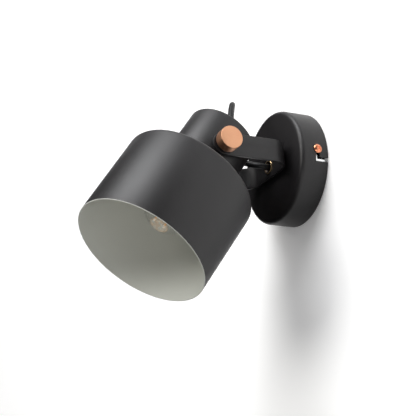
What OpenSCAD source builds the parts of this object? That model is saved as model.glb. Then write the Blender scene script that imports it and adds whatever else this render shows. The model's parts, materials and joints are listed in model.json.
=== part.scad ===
// Pivoting spotlight wall light: a drum shade on a short neck, held by thumb knobs in a folded
// U-bracket that swivels on a round wall canopy. The wall is the plane y = 0, the light stands
// off it towards -Y, and the origin is the centre of the canopy's back.

/* [Canopy] */
// Outside diameter of the round canopy
canopy_d = 100; // [94:1:120]
// How far the canopy's face stands off the wall
canopy_depth = 26; // [25:1:34]
// Radius of the canopy's front edge
canopy_edge_r = 4; // [2:0.5:6]
// Thickness of the spun sheet that canopy, neck and shade are made of
sheet_t = 1; // [0.7:0.1:1.4]

/* [Bracket] */
// Width over the outer faces of the two arms
bracket_w = 72; // [71:1:84]
// Width of the strip that the bracket is folded from
strip_w = 20; // [16:1:22]
// Thickness of that strip
strip_t = 2.5; // [2:0.1:2.8]
// Inner radius of the bracket's two bends
bend_r = 14.5; // [8:0.5:16]
// From the canopy's face to the tilt axis
arm_reach = 66; // [66:1:90]

/* [Head] */
// Angle of the beam below the horizontal, as the light is shown
beam_tilt = 54; // [45:1:65]
// Outside diameter of the neck
neck_d = 62; // [56:1:62.5]
// Length of the neck behind the tilt axis
neck_back = 30.5; // [28:0.5:34]
// Length of the neck in front of the tilt axis
neck_front = 27; // [26:0.5:34]
// Radius of the neck's rear edge
neck_edge_r = 1.6; // [1.6:0.1:3]
// Outside diameter of the shade
shade_d = 118.5; // [96:0.5:119]
// Length of the shade along the beam
shade_len = 84; // [70:1:110]
// Radius of the shade's rear edge
shade_edge_r = 3.5; // [2:0.5:8]

/* [Knobs] */
// Diameter of the two thumb knobs
knob_d = 20; // [14:0.5:24]
// Length of a knob
knob_len = 9.5; // [6:0.5:14]
// Bevel round the knob's face
knob_bevel = 0.6; // [0.3:0.1:1.2]

/* [Bulb] */
// Diameter of the round bulb
bulb_d = 45; // [40:1:50]

/* [Cable] */
// Diameter of the round flex
cable_d = 5.4; // [4.8:0.1:5.6]

/* [Wall fixing] */
// Distance between the two wall screws
fix_spacing = 60; // [56:1:62]
// Width of the slots for the wall screws
fix_slot_w = 4.5; // [4:0.1:5.5]
// Length of the slots for the wall screws
fix_slot_len = 10; // [8:1:12]

/* [Hidden] */

// Overrun of every cut
over = 1;
// Gap between flat faces that slide on each other
slip = 0.05;
// Radial clearance of a shaft in its bore
running = 0.05;
// Facets round large and small turned shapes
fn_large = 120;
fn_small = 48;

canopy_r = canopy_d / 2;
neck_r = neck_d / 2;
shade_r = shade_d / 2;
knob_r = knob_d / 2;
bulb_r = bulb_d / 2;
cable_r = cable_d / 2;
neck_len = neck_back + neck_front;
pivot_out = canopy_depth + arm_reach;
sides = [-1, 1];

// Swivel bush: a hollow brass nipple with a flat head
bush_r = 5;
bush_bore_r = 4;
bush_head_r = 6.2;
bush_head_t = 0.6;
bush_head_bevel = 0.2;
bush_mouth_r = 5.1;
bush_mouth_deep = 1.2;
bush_tail = 1.5;
spacer_r = 9;
spacer_t = 1.5;
lock_washer_r = 8;
lock_washer_t = 0.8;
lock_tooth_w = 1.2;
lock_teeth = 12;
bush_nut_af = 14;
bush_nut_t = 3;
plate_back = canopy_depth + spacer_t + slip;
plate_front = plate_back + strip_t;
canopy_inside = canopy_depth - sheet_t;
bush_end = canopy_inside - lock_washer_t - bush_nut_t - bush_tail;

// Mounting bar and the bayonet slots that hang the canopy on its two screws
bar_t = 1.5;
bar_w = 24;
bar_bend_r = 1;
bar_gap = 0.3;
bar_half = sqrt((canopy_r - sheet_t) * (canopy_r - sheet_t) - bar_w * bar_w / 4) - bar_gap;
bar_tab_h = 15;
bar_entry_r = 6;
screw_out = 10;
screw_r = 1.75;
screw_head_r = 3.9;
screw_head_t = 2.4;
screw_dome_r = 5.2;
screw_len = 7;
screw_cross_w = 0.9;
screw_cross_l = 4.2;
screw_cross_deep = 1.2;
slot_w = 3.7;
slot_end_r = 2.1;
slot_turn = 10.4;

// Terminal block on the tongue of the mounting bar
pole_pitch = 11;
poles = [-1, 0, 1];
barrel_r = 4.3;
barrel_len = 18;
block_top = 14;
tower_r = 3.2;
tower_h = 6.8;
tower_shift = 4.2;
web_t = 3;
ear_w = 7;
insert_r = 2.6;
insert_bore_r = 1.7;
clamp_screw_r = 1.5;
clamp_screw_slot = 0.5;
block_screw_r = 1.4;
block_head_r = 2.6;
block_head_t = 1.6;
block_half = pole_pitch + barrel_r + ear_w;
tongue_margin = 1.5;
earth_x = 15;
earth_r = 2;
earth_head_r = 3.8;
earth_head_t = 2.2;
earth_washer_r = 4.5;
earth_washer_t = 0.8;

// Flex: its cores and the stop that keeps it from being pulled out
core_r = 0.8;
core_gap = 0.15;
core_bend_share = 0.55;
cord_stop_r = 6.2;
cord_stop_t = 4.6;
cord_fit = 0.12;
flex_straight = 1;
cable_inner_end = bush_end - cord_stop_t - slip;
cable_sides = 10;
core_sides = 8;

// Stack along the tilt axis, from the neck out to the knob
arm_in = bracket_w / 2 - strip_t;
arm_out = bracket_w / 2;
friction_t = 1;
friction_r = 8.5;
saddle_r = 8;
stud_r = 3;
shoulder_r = 4;
knob_washer_r = 7.5;
knob_washer_t = 1.2;
collar_r = 6.5;
collar_t = 2.6;
stud_in = 7.5;
stud_grip = 5;
pivot_nut_af = 12;
pivot_nut_t = 5;
friction_out = arm_in - slip;
saddle_out = friction_out - friction_t;
collar_in = arm_out + slip + knob_washer_t + slip;
knob_in = collar_in + collar_t;

// Lampholder inside the neck
holder_r = 13.9;
holder_bore_r = 11.2;
holder_rim = 6;
holder_flange_r = 18;
holder_flange_t = 2;
holder_hole_r = 14.2;
holder_base = 1;
cap_r = 14.4;
cap_wall = 2;
cap_waist = 12.5;
cap_waist_r = 12.4;
cap_dome = 17.5;
cap_neck_r = 7.2;
cap_end = 22.5;
insert_t = 6;
insert_fit = 0.1;
shell_r = 7.55;
shell_t = 0.4;
shell_len = 19;
ring_r = 19.5;
ring_len = 6;
ring_grip_r = 1.6;
ring_grips = 18;
ring_grip_share = 0.6;
contact_r = 2;
contact_len = 2;
nipple_r = 5;
nipple_bore_r = 3.6;
nipple_inner = 19.5;
nipple_outer = 7.5;
nipple_nut_af = 14;
nipple_nut_t = 3;
gland_r = 6.8;
gland_end_r = 4.6;
gland_len = 12.5;
gland_fit = 0.15;
gland_ribs = 3;
gland_rib_w = 0.9;
gland_rib_deep = 0.6;

// Bulb
bulb_base = holder_base + insert_t + contact_len;
bulb_tip_t = 1;
bulb_tip_r = 2.4;
bulb_insulator_t = 2.2;
bulb_insulator_r = 5;
bulb_cap_r = 6.9;
bulb_cap_wall = 0.5;
bulb_collar_r = 8.8;
bulb_collar_t = 3.6;
bulb_neck_r = 8.4;
bulb_neck_len = 4.9;
bulb_waist_r = 12.2;
glass_t = 0.7;
bulb_cap_len = 24;
stem_r = 3.6;
stem_foot_r = bulb_neck_r - glass_t - slip;
stem_foot_t = 1;
stem_tip_r = 1.4;
stem_len = 11;
post_r = 0.5;
filament_r = 0.8;
filament_ring_low_r = 4.6;
filament_ring_high_r = 7.2;
filament_top_share = 0.765;
filament_count = 4;
filament_start = 9;
spoke_r = 0.3;

// Places along the beam, measured from the tilt axis
holder_front = neck_front + sheet_t + holder_rim;
bulb_cap_start = bulb_base + bulb_tip_t + bulb_insulator_t;
bulb_cap_end = bulb_cap_start + bulb_cap_len;
bulb_waist = bulb_cap_end + bulb_neck_len;
bulb_out = bulb_waist + sqrt(bulb_r * bulb_r - bulb_waist_r * bulb_waist_r);
filament_low = bulb_cap_end + filament_start;
filament_high = bulb_out + bulb_r * filament_top_share;
gland_out = neck_back + gland_len;

// Route of the flex: out of the head along the neck's axis, over in one loop and down the far
// side of the neck, then straight into the bush and through it into the canopy
cable_route = [
    behind_pivot(nipple_inner + bush_tail), behind_pivot(neck_back), behind_pivot(gland_out),
    behind_pivot(gland_out + flex_straight), [-0.5, -63.9, 40.8], [-2.2, -62.2, 46.8],
    [-4.6, -60.2, 52.6], [-7.6, -57.2, 58.6], [-12.6, -54.4, 61.2], [-18.2, -52.2, 59.6],
    [-22.6, -50.8, 54.6], [-25.2, -49.6, 47.6], [-26.6, -48.4, 40], [-26.8, -47.4, 32],
    [-26.2, -46.7, 24.6], [-24.1, -46.2, 18.2], [-20.2, -46, 12.8], [-15, -45.6, 8.5],
    [-9.8, -44.4, 5.1], [-5.2, -42.2, 2.5], [-1.8, -38.8, 0.9], [0, -34.6, 0], [0, -31, 0],
    [0, -24, 0],
    [0, -cable_inner_end, 0]];

// Point on the neck's axis, that far behind the tilt axis
function behind_pivot(s) = [0, s * cos(beam_tilt) - pivot_out, s * sin(beam_tilt)];

function unit(v) = v / norm(v);
function tangent(p, i) =
    i == 0 ? unit(p[1] - p[0]) :
    i == len(p) - 1 ? unit(p[i] - p[i - 1]) :
    unit(unit(p[i] - p[i - 1]) + unit(p[i + 1] - p[i]));
function square_to(n, t) = unit(n - t * (n * t));
function normals(p, n, i = 0) =
    i == len(p) ? [] :
    let (m = square_to(n, tangent(p, i)))
    concat([m], normals(p, m, i + 1));

// A round tube swept along points, with one ring of corners at each point
module swept_tube(points, r, count, up) {
    ups = normals(points, up);
    corners = [
        for (i = [0 : len(points) - 1])
            let (t = tangent(points, i), n = ups[i], b = cross(t, n))
            for (k = [0 : count - 1])
                let (a = 360 * k / count)
                points[i] + r * (cos(a) * n + sin(a) * b)];
    last = (len(points) - 1) * count;
    walls = [
        for (i = [0 : len(points) - 2])
            for (k = [0 : count - 1])
                let (a = i * count + k, b = i * count + (k + 1) % count)
                for (f = [[a, a + count, b], [b, a + count, b + count]])
                    f];
    start_cap = [[for (k = [0 : count - 1]) k]];
    end_cap = [[for (k = [count - 1 : -1 : 0]) last + k]];
    polyhedron(corners, concat(start_cap, walls, end_cap));
}

// Frame whose Z runs out of the wall, X to the right and Y up
module off_wall() {
    rotate([90, 0, 0]) children();
}

// Frame whose Z runs along the beam, from the tilt axis towards the open end
module along_beam() {
    translate([0, -pivot_out, 0])
        rotate([90 + beam_tilt, 0, 0])
            children();
}

// Frame whose Z runs out along the tilt axis, to the right or to the left
module along_pivot(side) {
    translate([0, -pivot_out, 0])
        rotate([0, 90 * side, 0])
            children();
}

module washer(outer_r, inner_r, t) {
    difference() {
        cylinder(r = outer_r, h = t, $fn = fn_small);
        translate([0, 0, -over]) cylinder(r = inner_r, h = t + 2 * over, $fn = fn_small);
    }
}

module hex_nut(across_flats, bore_r, t) {
    difference() {
        cylinder(r = across_flats / 2 / cos(30), h = t, $fn = 6);
        translate([0, 0, -over]) cylinder(r = bore_r, h = t + 2 * over, $fn = fn_small);
    }
}

// Quarter of a ring, in the corner between +X and +Y
module quarter_ring(outer, inner) {
    intersection() {
        difference() {
            circle(r = outer, $fn = fn_small);
            circle(r = inner, $fn = fn_small);
        }
        square(2 * outer);
    }
}

// Half of the wall of a spun cup: open at 0, closed at its height, with a rounded edge
module cup_profile(outer_r, height, edge_r, wall, hole_r) {
    translate([outer_r - wall, 0])
        square([wall, height - edge_r]);
    translate([outer_r - edge_r, height - edge_r])
        quarter_ring(edge_r, edge_r - wall);
    translate([hole_r, height - wall])
        square([outer_r - edge_r - hole_r, wall]);
}

// A strip folded up at both ends, seen along its width
module folded_profile(half_w, leg, t, inner_r) {
    outer = inner_r + t;
    translate([-(half_w - outer), 0])
        square([2 * (half_w - outer), t]);
    for (side = sides)
        mirror([side < 0 ? 1 : 0, 0]) {
            translate([half_w - outer, outer])
                mirror([0, 1])
                    quarter_ring(outer, inner_r);
            translate([half_w - t, outer])
                square([t, leg - outer]);
        }
}

// That strip as a solid: its base lies towards the wall and its legs run out from it
module folded_strip(half_w, leg, t, inner_r, width) {
    rotate([180, 0, 0])
        linear_extrude(height = width, center = true)
            folded_profile(half_w, leg, t, inner_r);
}

module half_disc(r) {
    intersection() {
        circle(r = r, $fn = fn_small);
        translate([-2 * r, -2 * r]) square([4 * r, 2 * r]);
    }
}

module slot_outline(length, width) {
    run = length - width;
    square([run, width], center = true);
    translate([run / 2, 0]) rotate(90) half_disc(width / 2);
    translate([-run / 2, 0]) rotate(-90) half_disc(width / 2);
}

// L-shaped slot: in from the canopy's back edge, then round to the seat of the screw
module bayonet_slot() {
    inside = canopy_r - sheet_t - over;
    deep = sheet_t + 2 * over;
    rotate([0, 0, -slot_turn])
        translate([inside, -slot_w / 2, -over])
            cube([deep, slot_w, screw_out + slot_w / 2 + over]);
    rotate([0, 0, -slot_turn])
        rotate_extrude(angle = slot_turn, $fn = fn_large)
            translate([inside, screw_out - slot_w / 2])
                square([deep, slot_w]);
    translate([inside, 0, screw_out])
        rotate([0, 90, 0])
            cylinder(r = slot_end_r, h = deep, $fn = fn_small);
}

module canopy() {
    color("#2f2f31")
        off_wall()
            difference() {
                rotate_extrude($fn = fn_large)
                    cup_profile(canopy_r, canopy_depth, canopy_edge_r, sheet_t, bush_r + running);
                bayonet_slot();
                rotate([0, 0, 180]) bayonet_slot();
            }
}

module mounting_bar() {
    tongue_half = block_half + tongue_margin;
    tongue_low = block_top + barrel_len + tongue_margin;
    color("#b9bcc0")
        difference() {
            union() {
                folded_strip(bar_half, bar_tab_h, bar_t, bar_bend_r, bar_w);
                off_wall()
                    translate([-tongue_half, -tongue_low, 0])
                        cube([2 * tongue_half, tongue_low - bar_w / 2 + over, bar_t]);
            }
            off_wall() {
                for (side = sides)
                    translate([side * fix_spacing / 2, 0, -over])
                        linear_extrude(height = bar_t + 2 * over)
                            slot_outline(fix_slot_len, fix_slot_w);
                translate([0, 0, -over])
                    cylinder(r = bar_entry_r, h = bar_t + 2 * over, $fn = fn_small);
                translate([earth_x, 0, -over])
                    cylinder(r = earth_r + running, h = bar_t + 2 * over, $fn = fn_small);
                for (side = sides)
                    block_screw_place(side)
                        translate([0, 0, -over])
                            cylinder(r = block_screw_r + running, h = bar_t + 2 * over,
                                $fn = fn_small);
                for (side = sides)
                    translate([side * (bar_half - bar_t - over), 0, screw_out])
                        rotate([0, 90 * side, 0])
                            cylinder(r = screw_r + running, h = bar_t + 2 * over, $fn = fn_small);
            }
        }
}

module canopy_screws() {
    seat = canopy_r + slip;
    color("#d9936f")
        off_wall()
            for (side = sides)
                translate([0, 0, screw_out])
                    rotate([0, 90 * side, 0])
                        translate([0, 0, seat]) {
                            difference() {
                                intersection() {
                                    cylinder(r = screw_head_r, h = screw_head_t, $fn = fn_small);
                                    translate([0, 0, screw_head_t - screw_dome_r])
                                        sphere(r = screw_dome_r, $fn = fn_small);
                                }
                                for (turn = [0, 90])
                                    rotate([0, 0, turn + 45])
                                        translate([0, 0, screw_head_t])
                                            cube([screw_cross_l, screw_cross_w,
                                                2 * screw_cross_deep], center = true);
                            }
                            translate([0, 0, -screw_len])
                                cylinder(r = screw_r, h = screw_len, $fn = fn_small);
                        }
}

module block_screw_place(side) {
    translate([side * (pole_pitch + barrel_r + ear_w / 2), -block_top - barrel_len / 2, 0])
        children();
}

// Terminal block: a web with a barrel for each pole and two screw towers on each barrel
module terminal_block() {
    middle = -block_top - barrel_len / 2;
    color("#e8e6df")
        off_wall()
            translate([0, 0, bar_t])
                difference() {
                    union() {
                        translate([-block_half, middle - barrel_len / 4, 0])
                            cube([2 * block_half, barrel_len / 2, web_t]);
                        for (p = poles)
                            translate([p * pole_pitch, -block_top, barrel_r])
                                rotate([90, 0, 0])
                                    cylinder(r = barrel_r, h = barrel_len, $fn = fn_small);
                        for (p = poles)
                            for (side = sides)
                                translate([p * pole_pitch, middle + side * tower_shift, barrel_r])
                                    cylinder(r = tower_r, h = tower_h, $fn = fn_small);
                    }
                    for (p = poles)
                        translate([p * pole_pitch, -block_top + over, barrel_r])
                            rotate([90, 0, 0])
                                cylinder(r = insert_r + running, h = barrel_len + 2 * over,
                                    $fn = fn_small);
                    for (p = poles)
                        for (side = sides)
                            translate([p * pole_pitch, middle + side * tower_shift, barrel_r])
                                cylinder(r = clamp_screw_r + 2 * running, h = tower_h + over,
                                    $fn = fn_small);
                    for (side = sides)
                        translate([0, 0, -over])
                            block_screw_place(side)
                                cylinder(r = block_screw_r + running, h = web_t + 2 * over,
                                    $fn = fn_small);
                }
}

module terminal_inserts() {
    color("#c8a862")
        off_wall()
            for (p = poles)
                translate([p * pole_pitch, -block_top - insert_t / 2, bar_t + barrel_r])
                    rotate([90, 0, 0])
                        washer(insert_r, insert_bore_r, barrel_len - insert_t);
}

module terminal_screws() {
    middle = -block_top - barrel_len / 2;
    low = bar_t + barrel_r + insert_r + slip;
    high = bar_t + barrel_r + tower_h - web_t / 2;
    color("#b9bcc0")
        off_wall()
            for (p = poles)
                for (side = sides)
                    translate([p * pole_pitch, middle + side * tower_shift, low])
                        difference() {
                            cylinder(r = clamp_screw_r, h = high - low, $fn = fn_small);
                            translate([0, 0, high - low])
                                cube([3 * clamp_screw_r, clamp_screw_slot, clamp_screw_r],
                                    center = true);
                        }
}

module block_screws() {
    color("#b9bcc0")
        off_wall()
            for (side = sides)
                block_screw_place(side) {
                    cylinder(r = block_screw_r, h = bar_t + web_t + slip, $fn = fn_small);
                    translate([0, 0, bar_t + web_t + slip])
                        cylinder(r = block_head_r, h = block_head_t, $fn = fn_small);
                }
}

module earth_screw() {
    head = bar_t + earth_washer_t;
    color("#c8a862")
        off_wall()
            translate([earth_x, 0, 0]) {
                cylinder(r = earth_r, h = head, $fn = fn_small);
                translate([0, 0, bar_t])
                    cylinder(r = earth_washer_r, h = earth_washer_t, $fn = fn_small);
                translate([0, 0, head])
                    difference() {
                        cylinder(r = earth_head_r, h = earth_head_t, $fn = fn_small);
                        translate([0, 0, earth_head_t])
                            cube([2 * earth_head_r + over, screw_cross_w, earth_head_t],
                                center = true);
                    }
            }
}

// Three cores from the end of the flex down into the barrels of the terminal block
module core_wires() {
    start = cable_inner_end - core_gap;
    low = bar_t + barrel_r;
    fall = block_top + insert_t / 2;
    spread = 2 * core_r + core_gap;
    color("#7a5a3c")
        off_wall()
            for (p = poles)
                swept_tube([
                    [p * spread, 0, start],
                    [p * spread, 0, start - core_r],
                    [p * spread, -core_r, start - 3 * core_r],
                    [p * spread, -fall / 5, low + (start - low) / 2],
                    [p * (spread + (pole_pitch - spread) * core_bend_share), -fall / 2, low + core_r],
                    [p * pole_pitch, -block_top + core_r, low],
                    [p * pole_pitch, -fall, low]],
                    core_r, core_sides, [1, 0, 0]);
}

module cord_stop() {
    color("#e8e6df")
        off_wall()
            translate([0, 0, bush_end - cord_stop_t])
                washer(cord_stop_r, cable_r + cord_fit, cord_stop_t - slip);
}

module swivel_bush() {
    head = plate_front + slip;
    color("#c8a862")
        off_wall()
            rotate_extrude($fn = fn_small)
                polygon([
                    [bush_bore_r, bush_end],
                    [bush_r, bush_end],
                    [bush_r, head],
                    [bush_head_r, head],
                    [bush_head_r, head + bush_head_t - bush_head_bevel],
                    [bush_head_r - bush_head_bevel, head + bush_head_t],
                    [bush_mouth_r, head + bush_head_t],
                    [bush_bore_r, head + bush_head_t - bush_mouth_deep]]);
}

module bush_nut() {
    color("#c8a862")
        off_wall()
            translate([0, 0, bush_end + bush_tail])
                hex_nut(bush_nut_af, bush_r + running, bush_nut_t);
}

module lock_washer() {
    color("#b9bcc0")
        off_wall()
            translate([0, 0, canopy_inside - lock_washer_t])
                difference() {
                    washer(lock_washer_r, bush_r + running, lock_washer_t);
                    for (k = [0 : lock_teeth - 1])
                        rotate([0, 0, 360 * k / lock_teeth])
                            translate([lock_washer_r - lock_tooth_w, -lock_tooth_w / 2, -over])
                                cube([2 * lock_tooth_w, lock_tooth_w, lock_washer_t + 2 * over]);
                }
}

module spacer_washer() {
    color("#1f1f20")
        off_wall()
            translate([0, 0, canopy_depth])
                washer(spacer_r, bush_r + running, spacer_t);
}

// U-bracket: one strip with two bends, round ends, a hole for the bush and a bore in each arm
module u_bracket() {
    leg = pivot_out - plate_back;
    color("#2f2f31")
        difference() {
            union() {
                translate([0, -plate_back, 0])
                    folded_strip(bracket_w / 2, leg, strip_t, bend_r, strip_w);
                for (side = sides)
                    translate([side * (arm_in + strip_t / 2), -pivot_out, 0])
                        rotate([0, 90, 0])
                            linear_extrude(height = strip_t, center = true)
                                half_disc(strip_w / 2);
            }
            off_wall()
                translate([0, 0, plate_back - over])
                    cylinder(r = bush_r + running, h = strip_t + 2 * over, $fn = fn_small);
            for (side = sides)
                along_pivot(side)
                    translate([0, 0, arm_in - over])
                        cylinder(r = shoulder_r + running, h = strip_t + 2 * over, $fn = fn_small);
        }
}

module knob_washers() {
    color("#1f1f20")
        for (side = sides)
            along_pivot(side)
                translate([0, 0, arm_out])
                    washer(knob_washer_r, shoulder_r + running, knob_washer_t);
}

// Turned knob: a narrow collar, then the plain drum with bevelled edges and a blind hole
module knob(side) {
    grip_end = knob_in + stud_grip;
    color("#d9936f")
        along_pivot(side)
            rotate_extrude($fn = fn_large)
                polygon([
                    [stud_r, collar_in],
                    [collar_r, collar_in],
                    [collar_r, knob_in],
                    [knob_r - knob_bevel, knob_in],
                    [knob_r, knob_in + knob_bevel],
                    [knob_r, knob_in + knob_len - knob_bevel],
                    [knob_r - knob_bevel, knob_in + knob_len],
                    [0, knob_in + knob_len],
                    [0, grip_end],
                    [stud_r, grip_end]]);
}

// Shouldered stud: the shoulder turns in the arm's bore, the thin end is screwed into the neck
module stud(side) {
    color("#b9bcc0")
        along_pivot(side)
            rotate_extrude($fn = fn_small)
                polygon([
                    [0, neck_r - stud_in],
                    [stud_r - knob_bevel, neck_r - stud_in],
                    [stud_r, neck_r - stud_in + knob_bevel],
                    [stud_r, friction_out],
                    [shoulder_r, friction_out],
                    [shoulder_r, collar_in - slip / 2],
                    [stud_r, collar_in - slip / 2],
                    [stud_r, knob_in + stud_grip],
                    [0, knob_in + stud_grip]]);
}

module knob_right() {
    knob(1);
}

module knob_left() {
    knob(-1);
}

module stud_right() {
    stud(1);
}

module stud_left() {
    stud(-1);
}

module friction_washers() {
    color("#8c8f92")
        for (side = sides)
            along_pivot(side)
                translate([0, 0, saddle_out])
                    washer(friction_r, stud_r + running, friction_t);
}

// Seats that fit the round neck on one side and the flat washer on the other
module saddle_washers() {
    color("#1f1f20")
        difference() {
            for (side = sides)
                along_pivot(side)
                    translate([0, 0, neck_r - sheet_t])
                        washer(saddle_r, stud_r + running, saddle_out - neck_r + sheet_t);
            along_beam()
                translate([0, 0, -neck_back / 2])
                    cylinder(r = neck_r, h = neck_back, $fn = fn_large);
        }
}

// Nuts inside the neck: the outer face is round to lie against the wall that it is welded to
module pivot_nuts() {
    color("#b9bcc0")
        intersection() {
            for (side = sides)
                along_pivot(side)
                    translate([0, 0, neck_r - sheet_t - pivot_nut_t])
                        hex_nut(pivot_nut_af, stud_r + running, pivot_nut_t);
            along_beam()
                translate([0, 0, -neck_back / 2])
                    cylinder(r = neck_r - sheet_t, h = neck_back, $fn = fn_large);
        }
}

module neck_cup() {
    color("#2f2f31")
        along_beam()
            difference() {
                translate([0, 0, neck_front])
                    mirror([0, 0, 1])
                        rotate_extrude($fn = fn_large)
                            cup_profile(neck_r, neck_len, neck_edge_r, sheet_t, nipple_r + running);
                for (side = sides)
                    rotate([0, 90 * side, 0])
                        translate([0, 0, neck_r - sheet_t - over])
                            cylinder(r = stud_r + running, h = sheet_t + 2 * over, $fn = fn_small);
            }
}

// Cord grip behind the neck, ribbed and tapered towards the flex
module cable_gland() {
    thread_end = neck_back + nipple_outer + slip;
    rib_gap = (gland_len - nipple_outer) / gland_ribs;
    color("#1f1f20")
        along_beam()
            mirror([0, 0, 1])
                difference() {
                    rotate_extrude($fn = fn_small)
                        polygon([
                            [nipple_r + running, neck_back],
                            [gland_r, neck_back],
                            [gland_r, thread_end],
                            [gland_end_r, gland_out],
                            [cable_r + gland_fit, gland_out],
                            [cable_r + gland_fit, thread_end],
                            [nipple_r + running, thread_end]]);
                    for (k = [0 : gland_ribs - 1])
                        translate([0, 0, neck_back + gland_rib_w + k * rib_gap])
                            washer(gland_r + over, gland_r - gland_rib_deep, gland_rib_w);
                }
}

module entry_nipple() {
    color("#c8a862")
        along_beam()
            translate([0, 0, -neck_back - nipple_outer])
                washer(nipple_r, nipple_bore_r, neck_back + nipple_outer - nipple_inner);
}

module nipple_nut() {
    color("#c8a862")
        along_beam()
            translate([0, 0, -neck_back + sheet_t])
                hex_nut(nipple_nut_af, nipple_r + running, nipple_nut_t);
}

// Rear half of the lampholder: a stepped bell with a threaded neck for the nipple
module holder_cap() {
    color("#1f1f20")
        along_beam()
            mirror([0, 0, 1])
                rotate_extrude($fn = fn_small)
                    polygon([
                        [nipple_r + running, cap_end],
                        [cap_neck_r, cap_end],
                        [cap_neck_r, cap_dome],
                        [cap_waist_r, cap_waist],
                        [cap_r, cap_waist],
                        [cap_r, -holder_base],
                        [cap_r - cap_wall, -holder_base],
                        [cap_r - cap_wall, cap_waist - cap_wall],
                        [cap_waist_r - cap_wall, cap_waist - cap_wall],
                        [nipple_r + running, cap_dome - cap_wall]]);
}

// Front half of the lampholder: a threaded skirt with the flange that the shade sits on
module holder_body() {
    flange = neck_front - holder_flange_t;
    color("#1f1f20")
        along_beam()
            rotate_extrude($fn = fn_large)
                polygon([
                    [holder_bore_r, holder_base],
                    [holder_r, holder_base],
                    [holder_r, flange],
                    [holder_flange_r, flange],
                    [holder_flange_r, neck_front],
                    [holder_r, neck_front],
                    [holder_r, holder_front - knob_bevel],
                    [holder_r - knob_bevel, holder_front],
                    [holder_bore_r, holder_front]]);
}

module holder_insert() {
    color("#efece4")
        along_beam()
            translate([0, 0, holder_base])
                difference() {
                    cylinder(r = holder_bore_r - insert_fit, h = insert_t, $fn = fn_small);
                    for (side = sides)
                        translate([side * (shell_r - core_r), 0, -over])
                            cylinder(r = core_r, h = insert_t / 2 + over, $fn = fn_small);
                }
}

module screw_shell() {
    color("#c8a862")
        along_beam()
            translate([0, 0, holder_base + insert_t])
                washer(shell_r, shell_r - shell_t, shell_len);
}

module centre_contact() {
    color("#c8a862")
        along_beam()
            translate([0, 0, holder_base + insert_t])
                cylinder(r = contact_r, h = contact_len, $fn = fn_small);
}

// Ring that clamps the shade on the lampholder, with finger grooves round it
module shade_ring() {
    color("#efece4")
        along_beam()
            translate([0, 0, neck_front + sheet_t])
                difference() {
                    washer(ring_r, holder_r + running, ring_len);
                    for (k = [0 : ring_grips - 1])
                        rotate([0, 0, 360 * k / ring_grips])
                            translate([ring_r + ring_grip_r * ring_grip_share, 0, -over])
                                cylinder(r = ring_grip_r, h = ring_len + 2 * over, $fn = fn_small);
                }
}

module shade() {
    color("#2f2f31")
        along_beam()
            translate([0, 0, neck_front + shade_len])
                mirror([0, 0, 1])
                    rotate_extrude($fn = fn_large)
                        cup_profile(shade_r, shade_len, shade_edge_r, sheet_t, holder_hole_r);
}

module bulb_cap() {
    collar = bulb_cap_end - bulb_collar_t;
    color("#c9cbcd")
        along_beam()
            rotate_extrude($fn = fn_small)
                polygon([
                    [bulb_insulator_r, bulb_cap_start],
                    [bulb_cap_r, bulb_cap_start + bulb_cap_wall],
                    [bulb_cap_r, collar],
                    [bulb_collar_r, bulb_cap_end - bulb_cap_wall],
                    [bulb_collar_r, bulb_cap_end],
                    [bulb_cap_r - bulb_cap_wall, bulb_cap_end],
                    [bulb_cap_r - bulb_cap_wall, bulb_cap_start + 2 * bulb_cap_wall],
                    [bulb_insulator_r, bulb_cap_start + bulb_cap_wall]]);
}

module bulb_insulator() {
    color("#26221f")
        along_beam()
            translate([0, 0, bulb_base + bulb_tip_t])
                rotate_extrude($fn = fn_small)
                    polygon([
                        [0, 0],
                        [bulb_tip_r, 0],
                        [bulb_insulator_r, bulb_insulator_t],
                        [bulb_insulator_r, bulb_insulator_t + bulb_cap_wall],
                        [0, bulb_insulator_t + bulb_cap_wall]]);
}

module bulb_contact() {
    color("#c8a862")
        along_beam()
            translate([0, 0, bulb_base])
                cylinder(r = bulb_tip_r, h = bulb_tip_t, $fn = fn_small);
}

// Outline of the bulb's glass: the ball and the neck that runs down into the cap
module bulb_outline(inset) {
    translate([0, bulb_out])
        circle(r = bulb_r - inset, $fn = fn_large);
    polygon([
        [0, bulb_cap_end],
        [bulb_neck_r - inset, bulb_cap_end],
        [bulb_neck_r - inset, bulb_cap_end + bulb_neck_len / 2],
        [bulb_waist_r - inset, bulb_waist],
        [0, bulb_waist + bulb_neck_len]]);
}

module bulb_glass() {
    color("#dfe6e8", 0.35)
        along_beam()
            rotate_extrude($fn = fn_large)
                intersection() {
                    difference() {
                        bulb_outline(0);
                        bulb_outline(glass_t);
                    }
                    square([bulb_d, bulb_out + bulb_d]);
                }
}

// Glass stem with the thin post and the spokes that carry the filaments
module bulb_stem() {
    color("#dfe6e8", 0.5)
        along_beam() {
            rotate_extrude($fn = fn_small)
                polygon([
                    [0, bulb_cap_end],
                    [stem_foot_r, bulb_cap_end],
                    [stem_foot_r, bulb_cap_end + stem_foot_t],
                    [stem_r, bulb_cap_end + stem_len / 3],
                    [stem_tip_r, bulb_cap_end + stem_len],
                    [0, bulb_cap_end + stem_len]]);
            translate([0, 0, bulb_cap_end + stem_len - over])
                cylinder(r = post_r, h = filament_high + post_r - bulb_cap_end - stem_len + over,
                    $fn = fn_small);
            for (k = [0 : filament_count - 1])
                rotate([0, 0, 360 * (k + 1 / 2) / filament_count]) {
                    translate([0, 0, filament_low])
                        rotate([0, 90, 0])
                            cylinder(r = spoke_r, h = filament_ring_low_r - filament_r - slip,
                                $fn = fn_small);
                    translate([0, 0, filament_high])
                        rotate([0, 90, 0])
                            cylinder(r = spoke_r, h = filament_ring_high_r - filament_r - slip,
                                $fn = fn_small);
                }
        }
}

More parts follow.
